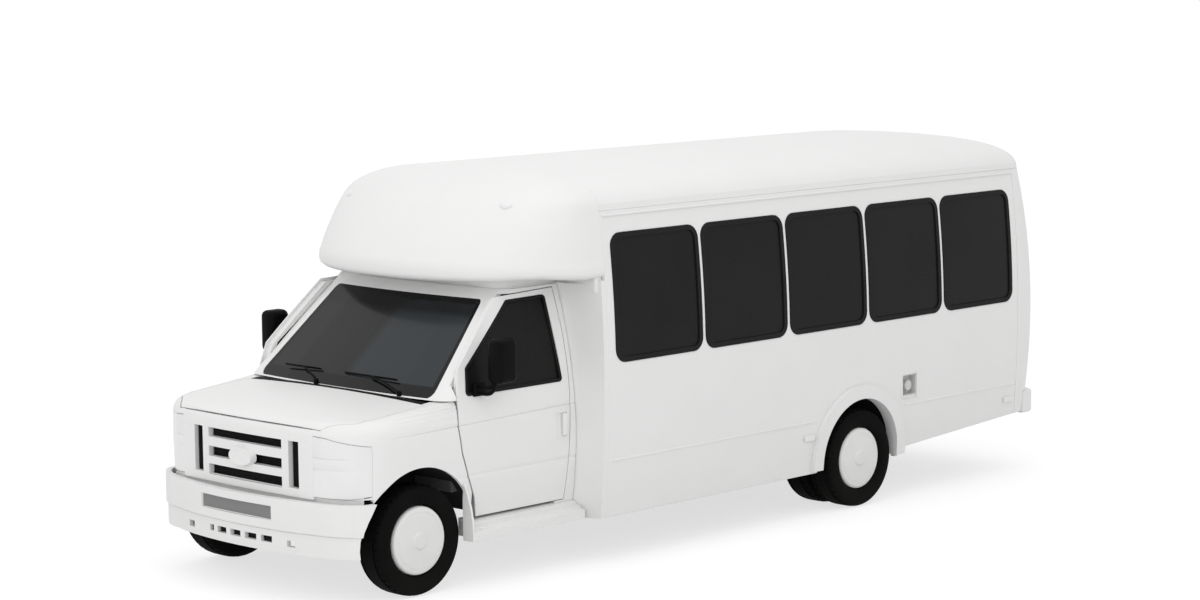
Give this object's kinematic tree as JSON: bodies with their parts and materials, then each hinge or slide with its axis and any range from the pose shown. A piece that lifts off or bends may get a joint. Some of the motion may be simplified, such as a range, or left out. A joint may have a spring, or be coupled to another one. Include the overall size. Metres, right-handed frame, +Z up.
{
  "type": "minibus",
  "caption": "Small shuttle bus: cutaway van cab with opening hood and doors, wide coach body with an over-cab cap, steered front wheels and twin rear wheels.",
  "frame": {"origin": "centre of the vehicle's plan, on the ground", "axes": "-Y forward, +X to the vehicle's left (driver's) side, +Z up"},
  "size_m": [2.4546, 6.94, 2.5655],
  "materials": {
    "body_white": "satin paint",
    "chassis_black": "chassis black",
    "exhaust_steel": "dull",
    "floor_dark": "ribbed vinyl",
    "trim_black": "textured",
    "seat_fabric": "woven",
    "dark_glass": "tinted",
    "frame_rubber": "semi-matt",
    "lamp_lens": "smooth",
    "trim_pale": "smooth",
    "tyre_rubber": "matt",
    "wheel_white": "satin"
  },
  "bodies": {
    "root": {"frame_rails": "chassis_black", "crossmembers": "chassis_black", "outriggers": "chassis_black", "tie_down_blocks": "chassis_black", "engine_block": "chassis_black", "front_axle_beam": "chassis_black", "rear_axle": "chassis_black", "exhaust": "exhaust_steel", "fuel_tank": "chassis_black", "cab_shell": "body_white", "cab_floor": "floor_dark", "dashboard": "trim_black", "seats": "seat_fabric", "windscreen": "dark_glass", "cowl_panel": "trim_black", "wipers": "trim_black", "front_fenders": "body_white", "grille": "body_white", "headlamps": "lamp_lens", "front_bumper": "body_white", "cab_steps": "body_white", "front_cap": "body_white", "coach_front_wall": "body_white", "left_side_wall": "body_white", "right_side_wall": "body_white", "rear_wall": "body_white", "roof": "body_white", "coach_floor": "floor_dark", "window_frames": "frame_rubber", "window_glass": "dark_glass", "arch_flares": "body_white", "fuel_filler": "trim_pale", "lamps": "lamp_lens", "rear_bumper": "body_white"},
    "hood": {"hood": "body_white"},
    "driver_door": {"driver_door": "body_white", "driver_door_glass": "dark_glass", "driver_mirror": "trim_black"},
    "passenger_door": {"passenger_door": "body_white", "passenger_door_glass": "dark_glass", "passenger_mirror": "trim_black"},
    "entry_front_leaf": {"entry_front_leaf": "body_white"},
    "entry_rear_leaf": {"entry_rear_leaf": "body_white"},
    "rear_door": {"rear_door": "body_white"},
    "left_knuckle": {"left_knuckle": "chassis_black"},
    "right_knuckle": {"right_knuckle": "chassis_black"},
    "front_left_wheel": {"front_left_tyre": "tyre_rubber", "front_left_rim": "wheel_white"},
    "front_right_wheel": {"front_right_tyre": "tyre_rubber", "front_right_rim": "wheel_white"},
    "rear_left_wheels": {"rear_left_tyres": "tyre_rubber", "rear_left_rims": "wheel_white"},
    "rear_right_wheels": {"rear_right_tyres": "tyre_rubber", "rear_right_rims": "wheel_white"}
  },
  "joints": [
    {"name": "left_steer", "type": "hinge", "parent": "root", "child": "left_knuckle", "pos_m": [0.71, -2.781, 0.352], "axis": [0, 0, 1], "range_deg": [-30, 30]},
    {"name": "right_steer", "type": "hinge", "parent": "root", "child": "right_knuckle", "pos_m": [-0.71, -2.781, 0.352], "axis": [0, 0, 1], "range_deg": [-30, 30]},
    {"name": "front_left_spin", "type": "hinge", "parent": "left_knuckle", "child": "front_left_wheel", "pos_m": [0.87, -2.781, 0.352], "axis": [1, 0, 0], "continuous": true},
    {"name": "front_right_spin", "type": "hinge", "parent": "right_knuckle", "child": "front_right_wheel", "pos_m": [-0.87, -2.781, 0.352], "axis": [1, 0, 0], "continuous": true},
    {"name": "rear_left_spin", "type": "hinge", "parent": "root", "child": "rear_left_wheels", "pos_m": [0.97, 1.289, 0.352], "axis": [1, 0, 0], "continuous": true},
    {"name": "rear_right_spin", "type": "hinge", "parent": "root", "child": "rear_right_wheels", "pos_m": [-0.97, 1.289, 0.352], "axis": [1, 0, 0], "continuous": true},
    {"name": "driver_door_hinge", "type": "hinge", "parent": "root", "child": "driver_door", "pos_m": [1.004, -2.448, 1], "axis": [0, 0, -1], "range_deg": [0, 68]},
    {"name": "passenger_door_hinge", "type": "hinge", "parent": "root", "child": "passenger_door", "pos_m": [-1.004, -2.448, 1], "axis": [0, 0, 1], "range_deg": [0, 68]},
    {"name": "hood_hinge", "type": "hinge", "parent": "root", "child": "hood", "pos_m": [0, -2.627, 1.216], "axis": [-1, 0, 0], "range_deg": [0, 55]},
    {"name": "entry_front_hinge", "type": "hinge", "parent": "root", "child": "entry_front_leaf", "pos_m": [-1.204, -1.231, 1], "axis": [0, 0, 1], "range_deg": [0, 85]},
    {"name": "entry_rear_hinge", "type": "hinge", "parent": "root", "child": "entry_rear_leaf", "pos_m": [-1.204, -0.4, 1], "axis": [0, 0, -1], "range_deg": [0, 85]},
    {"name": "rear_door_hinge", "type": "hinge", "parent": "root", "child": "rear_door", "pos_m": [-0.444, 3.473, 1.4], "axis": [0, 0, 1], "range_deg": [0, 100]}
  ],
  "couplings": [
    {"joint": "right_steer", "follows": "left_steer", "ratio": 1},
    {"joint": "entry_rear_hinge", "follows": "entry_front_hinge", "ratio": 1}
  ]
}
